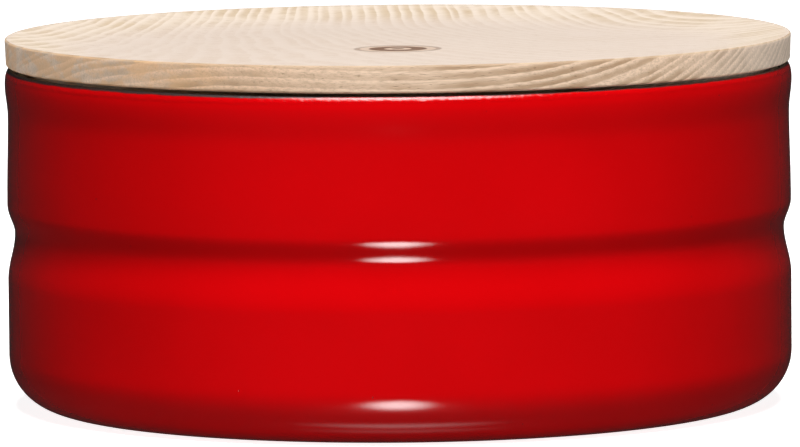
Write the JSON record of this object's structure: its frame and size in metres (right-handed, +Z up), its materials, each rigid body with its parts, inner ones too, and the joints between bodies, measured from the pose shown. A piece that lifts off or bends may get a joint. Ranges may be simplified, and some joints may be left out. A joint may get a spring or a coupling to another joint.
{
  "type": "enamelled storage canister with wooden lid",
  "caption": "Low round enamelled steel storage canister with a rolled groove round its wall and a dished ash lid that plugs in on a silicone ring.",
  "frame": {"origin": "centre of the base, on the surface that the canister stands on", "axes": "+Z up along the canister's axis; +X and +Y are any two directions across it, with -Y the side that faces the viewer"},
  "size_m": [0.1304, 0.1304, 0.0615],
  "materials": {
    "red_enamel": "glossy fired enamel over steel",
    "ash_wood": "fine-sanded, clear matt oil",
    "silicone": "translucent white, satin"
  },
  "bodies": {
    "canister": {"canister": "red_enamel"},
    "lid": {"lid": "ash_wood", "lid_seal": "silicone"}
  },
  "joints": [
    {"name": "lid_lift", "type": "slide", "parent": "canister", "child": "lid", "axis": [0, 0, 1], "range_m": [0, 0.08]}
  ]
}
